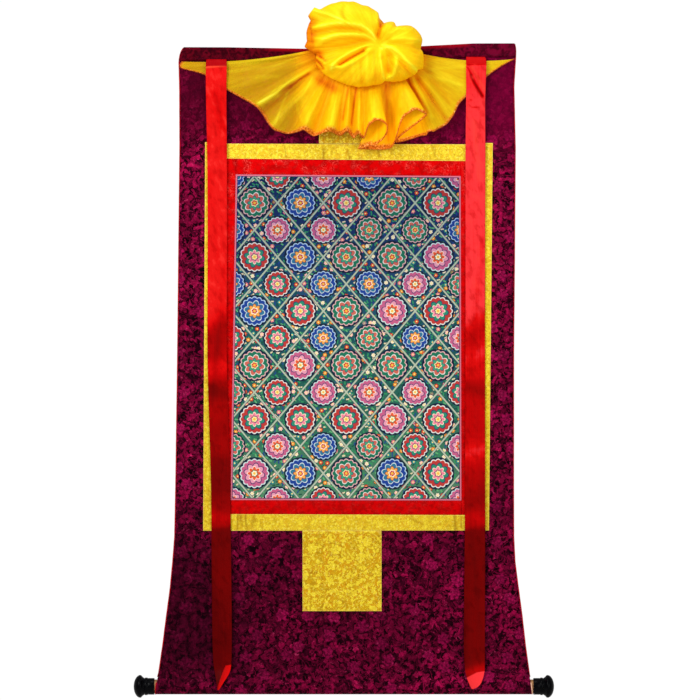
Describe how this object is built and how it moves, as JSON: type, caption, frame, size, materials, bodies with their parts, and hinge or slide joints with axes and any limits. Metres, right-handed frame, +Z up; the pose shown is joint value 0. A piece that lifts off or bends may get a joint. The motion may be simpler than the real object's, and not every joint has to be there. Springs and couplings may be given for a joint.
{
  "type": "thangka scroll painting with roller rod",
  "caption": "Hanging brocade scroll with a framed picture panel, a silk veil gathered into a rosette at the top, red ribbons, and a roller rod with turned knobs in its bottom sleeve.",
  "frame": {"origin": "middle of the nominal top edge, on the flat back of the top hem that lies on the wall; the real edge dips about 3 mm below it there", "axes": "+X to the viewer's right across the scroll, +Y into the wall, +Z up along the drop"},
  "size_m": [0.8212, 0.08, 1.3584],
  "materials": {
    "maroon_brocade": "woven brocade, dark maroon with a magenta flower pattern",
    "red_piping": "rolled red silk piping",
    "cream_binding": "cream cloth binding",
    "yellow_brocade": "golden yellow brocade, tone on tone",
    "red_brocade": "bright red brocade, lightly mottled",
    "painted_cloth": "matt painted cloth",
    "yellow_silk": "thin, slightly sheer yellow silk",
    "red_satin": "glossy red satin",
    "plain_wood": "plain turned wood, hidden in the sleeve",
    "black_lacquer": "glossy black lacquer"
  },
  "bodies": {
    "root": {"brocade_mount": "maroon_brocade", "edge_binding_left": "red_piping", "edge_binding_right": "red_piping", "sleeve_binding_left": "red_piping", "sleeve_binding_right": "cream_binding", "yellow_strip_top": "yellow_brocade", "yellow_strip_bottom": "yellow_brocade", "yellow_strip_left": "yellow_brocade", "yellow_strip_right": "yellow_brocade", "red_strip_top": "red_brocade", "red_strip_bottom": "red_brocade", "red_strip_left": "red_brocade", "red_strip_right": "red_brocade", "yellow_tab_bottom": "yellow_brocade", "yellow_tab_top": "yellow_brocade", "picture_panel": "painted_cloth", "veil": "yellow_silk", "ribbon_left": "red_satin", "ribbon_right": "red_satin", "roller_rod": "plain_wood", "roller_knob_left": "black_lacquer", "roller_knob_right": "black_lacquer"}
  },
  "joints": []
}
